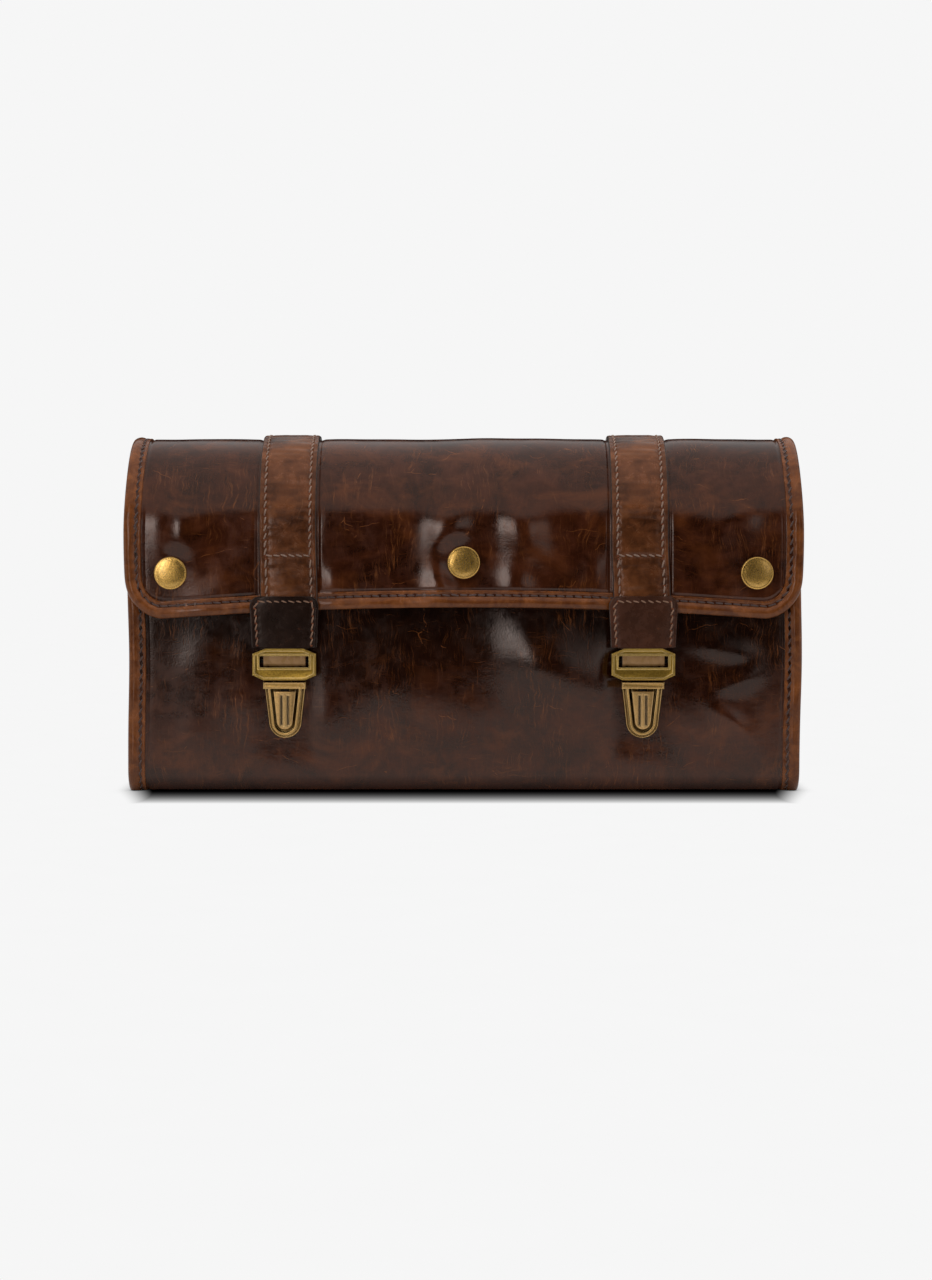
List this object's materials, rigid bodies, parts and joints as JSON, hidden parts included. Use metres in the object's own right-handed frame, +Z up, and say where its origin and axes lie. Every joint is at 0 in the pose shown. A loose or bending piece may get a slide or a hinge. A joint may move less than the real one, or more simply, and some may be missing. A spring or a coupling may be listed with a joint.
{
  "type": "shaving kit bag",
  "caption": "Box-shaped leather wash bag whose bound flap wraps over the front and closes with press studs and strapped tuck locks.",
  "frame": {"origin": "middle of the flat base, on the ground", "axes": "+X to the right seen from the front, along the bag's length; -Y to the front, where the locks are; +Z up"},
  "size_m": [0.3, 0.0904, 0.1593],
  "materials": {
    "leather_body": "dark brown pull-up leather, waxed, cloudy, with fine orange-brown scratches",
    "leather_binding": "mid-brown leather strip, satin, worn lighter at the fold",
    "leather_strap": "mid-brown strap leather, satin, with dark painted edges",
    "leather_tab": "near-black brown leather, waxed, with dark painted edges",
    "leather_board": "bonded leather board, matt",
    "lining": "tan cotton drill, plain weave, matt",
    "elastic": "dark brown woven elastic, matt",
    "brass": "aged brass, satin, with brighter rims",
    "antique_brass": "antique brass, darkened in the recesses and bright on the edges",
    "steel": "plain zinc-plated steel"
  },
  "bodies": {
    "bag": {"body_wrap": "leather_body", "body_lining": "lining", "mouth_binding": "leather_binding", "base_board": "leather_board", "slip_pocket": "lining", "tool_loops": "elastic", "studs": "brass", "stud_posts": "brass", "left_gusset": "leather_body", "right_gusset": "leather_body", "left_body_binding": "leather_binding", "right_body_binding": "leather_binding", "left_rear_strap": "leather_strap", "right_rear_strap": "leather_strap", "left_lock_case": "antique_brass", "right_lock_case": "antique_brass", "left_lock_backplate": "steel", "right_lock_backplate": "steel", "left_lock_rivets": "brass", "right_lock_rivets": "brass"},
    "flap": {"flap_skin": "leather_body", "flap_lining": "lining", "flap_binding": "leather_binding", "stud_caps": "brass", "stud_sockets": "brass", "left_flap_strap": "leather_strap", "right_flap_strap": "leather_strap"},
    "left_free_strap": {"left_strap_end": "leather_strap"},
    "left_tab_plate": {"left_strap_tab": "leather_tab", "left_lock_plate": "antique_brass", "left_lock_bar": "steel", "left_lock_tongue": "antique_brass", "left_tongue_rivets": "brass"},
    "left_push_button": {"left_lock_button": "antique_brass", "left_lock_catch": "steel"},
    "right_free_strap": {"right_strap_end": "leather_strap"},
    "right_tab_plate": {"right_strap_tab": "leather_tab", "right_lock_plate": "antique_brass", "right_lock_bar": "steel", "right_lock_tongue": "antique_brass", "right_tongue_rivets": "brass"},
    "right_push_button": {"right_lock_button": "antique_brass", "right_lock_catch": "steel"}
  },
  "joints": [
    {"name": "flap_fold", "type": "hinge", "parent": "bag", "child": "flap", "pos_m": [0, 0.0291, 0.1467], "axis": [-1, 0, 0], "range_deg": [0, 135]},
    {"name": "left_strap_swing", "type": "hinge", "parent": "flap", "child": "left_free_strap", "pos_m": [-0.078, -0.046, 0.104], "axis": [-1, 0, 0], "range_deg": [0, 135]},
    {"name": "left_tongue_release", "type": "slide", "parent": "left_free_strap", "child": "left_tab_plate", "axis": [0, 0, 1], "range_m": [0, 0.008], "deforming": ["left_strap_end", "left_lock_catch"]},
    {"name": "left_button_press", "type": "slide", "parent": "bag", "child": "left_push_button", "axis": [0, 1, 0], "range_m": [0, 0.0012], "stiffness_N_per_m": 800},
    {"name": "right_strap_swing", "type": "hinge", "parent": "flap", "child": "right_free_strap", "pos_m": [0.078, -0.046, 0.104], "axis": [-1, 0, 0], "range_deg": [0, 135]},
    {"name": "right_tongue_release", "type": "slide", "parent": "right_free_strap", "child": "right_tab_plate", "axis": [0, 0, 1], "range_m": [0, 0.008], "deforming": ["right_strap_end", "right_lock_catch"]},
    {"name": "right_button_press", "type": "slide", "parent": "bag", "child": "right_push_button", "axis": [0, 1, 0], "range_m": [0, 0.0012], "stiffness_N_per_m": 800}
  ]
}
